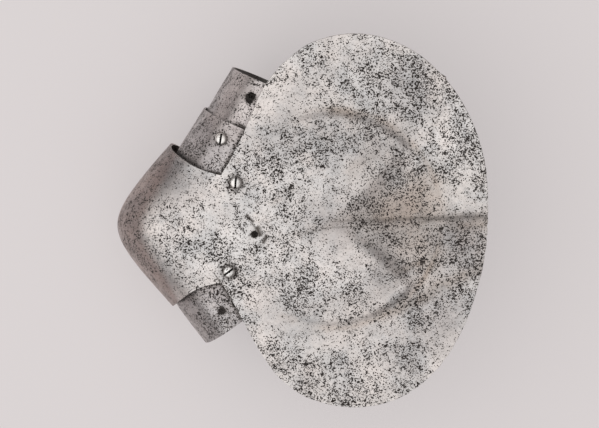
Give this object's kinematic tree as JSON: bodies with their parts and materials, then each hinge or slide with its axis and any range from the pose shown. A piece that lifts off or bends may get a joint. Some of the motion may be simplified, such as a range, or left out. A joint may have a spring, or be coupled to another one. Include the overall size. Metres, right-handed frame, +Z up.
{
  "type": "couter",
  "caption": "Steel elbow defence: a cup with a large shell-shaped wing, and jointed lames above and below it on screw and rivet pivots.",
  "frame": {"origin": "centre of the bounding box at the bottom, on the ground that the couter's inner cheek lies on", "axes": "+Z up out of the wing and along the pivots, +X from the point of the elbow to the wing's front edge, +Y toward the upper arm's lames"},
  "size_m": [0.2295, 0.2278, 0.1185],
  "materials": {
    "pitted_steel": "old forged steel, pale grey, satin, with dense dark rust pitting",
    "lame_steel": "old forged steel, grey with a mauve cast, satin, pitted",
    "screw_steel": "worn bright steel",
    "dark_iron": "dark unpolished iron"
  },
  "bodies": {
    "main_plate": {"main_plate": "pitted_steel", "screw_upper": "screw_steel", "nut_upper": "dark_iron", "rivet_upper": "dark_iron", "screw_lower": "screw_steel", "nut_lower": "dark_iron", "rivet_lower": "dark_iron"},
    "upper_lame": {"upper_lame": "lame_steel", "screw_top": "screw_steel", "nut_top": "dark_iron", "rivet_top": "dark_iron"},
    "top_lame": {"top_lame": "lame_steel"},
    "lower_lame": {"lower_lame": "lame_steel"}
  },
  "joints": [
    {"name": "upper_lame_pivot", "type": "hinge", "parent": "main_plate", "child": "upper_lame", "pos_m": [-0.0383, 0.025, 0.0546], "axis": [0, 0, 1], "range_deg": [-12, 8]},
    {"name": "top_lame_pivot", "type": "hinge", "parent": "upper_lame", "child": "top_lame", "pos_m": [-0.0467, 0.0519, 0.0546], "axis": [0, 0, 1], "range_deg": [-10, 5]},
    {"name": "lower_lame_pivot", "type": "hinge", "parent": "main_plate", "child": "lower_lame", "pos_m": [-0.044, -0.0292, 0.0546], "axis": [0, 0, 1], "range_deg": [-8, 12]}
  ]
}
